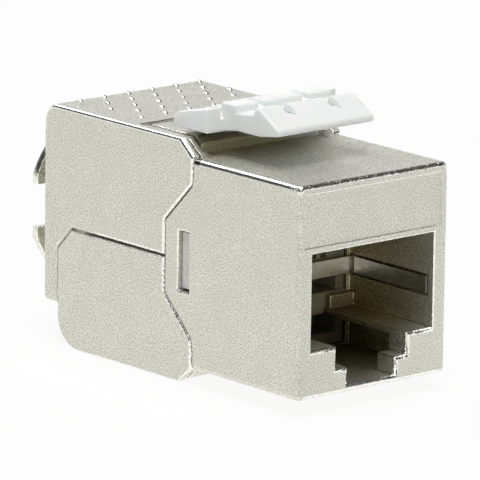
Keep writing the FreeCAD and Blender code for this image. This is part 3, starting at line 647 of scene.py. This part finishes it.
# %% The latch, the spring and the insert
dress("latch", "latch_body", "latch_plastic", 0.18, milky_plastic, segments=3)
dress("shield_spring", "jack", "spring_metal", 0.03, spring_steel)


def whiten_lugs(work):
    """The insert's snap lugs, which show in the side windows, are of the white plastic."""
    lug_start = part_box("circuit_board")[1][0] + 0.2 * MM
    for face in work.faces:
        if abs(face.calc_center_median().x) > lug_start:
            face.material_index = 1


dress("contact_carrier", "jack", "insert_plastic", 0.05, shaded_insert_plastic, white_plastic, trim=whiten_lugs)

# %% [markdown]
# A white lug shows in each side window. The CAD lug ends a little before the window's rear edge, so a
# small heel with soft edges stands behind each lug and carries its white on.

# %% The heels of the snap lugs
def box_between(name, low, high, material, bevel):
    """A box between two corners in millimetres, with soft edges."""
    work = bmesh.new()
    bmesh.ops.create_cube(work, size=1.0)
    low, high = Vector(low) * MM, Vector(high) * MM
    middle, size = (low + high) / 2, high - low
    for vert in work.verts:
        vert.co = Vector(middle[k] + vert.co[k] * size[k] for k in range(3))
    piece = shell_object(name, work, [material])
    soft = piece.modifiers.new("soft_edges", "BEVEL")
    soft.width = bevel * MM
    soft.segments = 2
    return piece


LUG_LOW, LUG_HIGH, HEEL_END, HEEL_DEPTH = 5.9, 10.15, 13.56, 0.5
lug_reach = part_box("contact_carrier")[1][0] / MM
lug_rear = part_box("contact_carrier")[1][1] / MM
for name, side in (("left_heel", -1), ("right_heel", 1)):
    ends = sorted((side * lug_reach, side * (lug_reach - HEEL_DEPTH)))
    heel = box_between(name, (ends[0], lug_rear, LUG_LOW), (ends[1], HEEL_END, LUG_HIGH), white_plastic, 0.05)
    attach(heel, "jack")
print("heels from", round(lug_rear, 2), "to", HEEL_END, "mm")

# %% [markdown]
# Contacts and blades are stamped from strip and have crisp edges, so their bevels are very small. All
# contacts are alike, and so are the blades, so a loop over the node names dresses them. The board, the
# wire block and its cap follow.

# %% Contacts, board and wire block
for node in sorted(nodes):
    if node.startswith("contact_") and node != "contact_carrier":
        dress(node, "jack", "contact_gold", 0.03, contact_gold)
    if node.startswith("idc_blade"):
        dress(node, "jack", "blade_metal", 0.04, tinned_bronze)
dress("circuit_board", "jack", "board_laminate", 0.04, laminate)
dress("idc_block", "jack", "block_plastic", 0.06, white_plastic)
dress("wire_cap", "jack", "block_plastic", 0.1, white_plastic)

# %% [markdown]
# ## Stage, light and camera
# The jack stands in a white studio. Metal is only as bright as what it mirrors, so the world is pale
# near the horizon, as a white backdrop is, and darker overhead, where a few soft boxes hang. That is
# what draws the dark and bright lines along the rounded edges.

# %% World and floor
world = bpy.data.worlds.new("studio")
bpy.context.scene.world = world
world.use_nodes = True


class Sky(Finish):
    """The same helpers, for the world's tree."""

    def __init__(self, owner):
        self.material = owner
        owner.node_tree.nodes.clear()


sky = Sky(world)
direction = sky.add("ShaderNodeTexCoord", output="Generated")
east, north, up = (sky.add("ShaderNodeSeparateXYZ", None, {0: direction}, output=axis) for axis in "XYZ")
brim = sky.ramp(0.65 * east + 0.76 * north, 0.3, 0.85, 0.02, 0.34)
backdrop = sky.ramp(up - brim, 0.0, 0.2, 1.0, 0.0)
mirrored = sky.mix(backdrop, shade(0.06, 0.06, 0.055), shade(0.92, 0.92, 0.90))
seen = sky.add("ShaderNodeLightPath", output="Is Camera Ray")
shown = sky.mix(seen, mirrored, shade(1, 1, 1))
background = sky.add("ShaderNodeBackground", None, {"Color": shown, "Strength": 1.0})
ending = world.node_tree.nodes.new("ShaderNodeOutputWorld")
world.node_tree.links.new(background.socket, ending.inputs["Surface"])


def white_floor():
    """White for the camera and in mirrors, with a share left for the soft shadow under the jack."""
    finish = Finish("white_floor")
    lit = finish.add("ShaderNodeBsdfDiffuse", None, {"Color": shade(0.86, 0.86, 0.85)})
    white = finish.add("ShaderNodeEmission", None, {"Color": shade(1, 1, 1), "Strength": 1.0})
    pale = finish.add("ShaderNodeEmission", None, {"Color": shade(1.0, 1.0, 0.97), "Strength": 1.1})
    camera = finish.add("ShaderNodeLightPath", output="Is Camera Ray")
    glossy = finish.add("ShaderNodeLightPath", output="Is Glossy Ray")
    shader = finish.add("ShaderNodeMixShader", None, {0: camera * 0.9, 1: lit, 2: white})
    shader = finish.add("ShaderNodeMixShader", None, {0: glossy * 0.75, 1: shader, 2: pale})
    finish.add_output(shader)
    return finish.material


floor_mesh = bpy.data.meshes.new("floor")
FLOOR_REACH = 1.2
level = cad_box[0][2]
floor_corners = [(x * FLOOR_REACH, y * FLOOR_REACH, level) for x, y in ((-1, -1), (1, -1), (1, 1), (-1, 1))]
floor_mesh.from_pydata(floor_corners, [], [(0, 1, 2, 3)])
floor = bpy.data.objects.new("floor", floor_mesh)
floor.data.materials.append(white_floor())
bpy.context.scene.collection.objects.link(floor)
print("floor at", round(level / MM, 2), "mm")

# %% [markdown]
# Three soft boxes add highlights that the world alone doesn't give: a strong one overhead, and weaker
# ones behind and in front. They are large for so small an object, so the shadow on the floor is soft.

# %% Soft boxes
def soft_box(name, towards, distance, size, power):
    """A square lamp that hangs in a direction from the jack's middle and points back at it."""
    middle = (Vector(cad_box[0]) + Vector(cad_box[1])) / 2
    lamp = bpy.data.lights.new(name, "AREA")
    lamp.shape = "SQUARE"
    lamp.size = size
    lamp.energy = power
    holder = bpy.data.objects.new(name, lamp)
    holder.location = middle + Vector(towards).normalized() * distance
    holder.rotation_euler = (middle - holder.location).to_track_quat("-Z", "Y").to_euler()
    bpy.context.scene.collection.objects.link(holder)
    return holder


soft_box("top_box", (-0.05, -0.10, 1.0), 0.5, 0.30, 1.9)
soft_box("back_box", (0.0, 0.74, 0.68), 0.5, 0.2, 0.5)
soft_box("front_box", (-0.45, -0.65, 0.8), 0.5, 0.26, 0.4)

# %% [markdown]
# A long lens from far away keeps the jack's edges nearly parallel. The camera is placed by the point it
# looks at, two angles and a small roll, which are easier to judge than a position and a rotation.

# %% Camera
def look_at(aim, azimuth, elevation, roll, distance, lens):
    """A camera at a distance from the aim. Azimuth 0 looks along +Y; elevation is above the horizon."""
    turn, rise = math.radians(azimuth), math.radians(elevation)
    back = Vector((math.sin(turn) * math.cos(rise), -math.cos(turn) * math.cos(rise), math.sin(rise)))
    data = bpy.data.cameras.new("camera")
    data.lens = lens
    data.sensor_width = 36.0
    data.clip_start = 0.01
    camera = bpy.data.objects.new("camera", data)
    right = (-back).cross(Vector((0, 0, 1))).normalized()
    upright = Matrix((right, right.cross(-back), back)).transposed()
    camera.matrix_world = Matrix.Translation(Vector(aim) * MM + back * distance * MM) @ (
        upright @ Matrix.Rotation(math.radians(roll), 3, "Z")).to_4x4()
    bpy.context.scene.collection.objects.link(camera)
    bpy.context.scene.camera = camera
    return camera


look_at((-5.82, 8.23, 10.38), -40.67, 13.27, 0.74, 439.9, 450.0)
bpy.context.scene.view_settings.view_transform = "Standard"
print("camera at", [round(x, 3) for x in bpy.context.scene.camera.location])
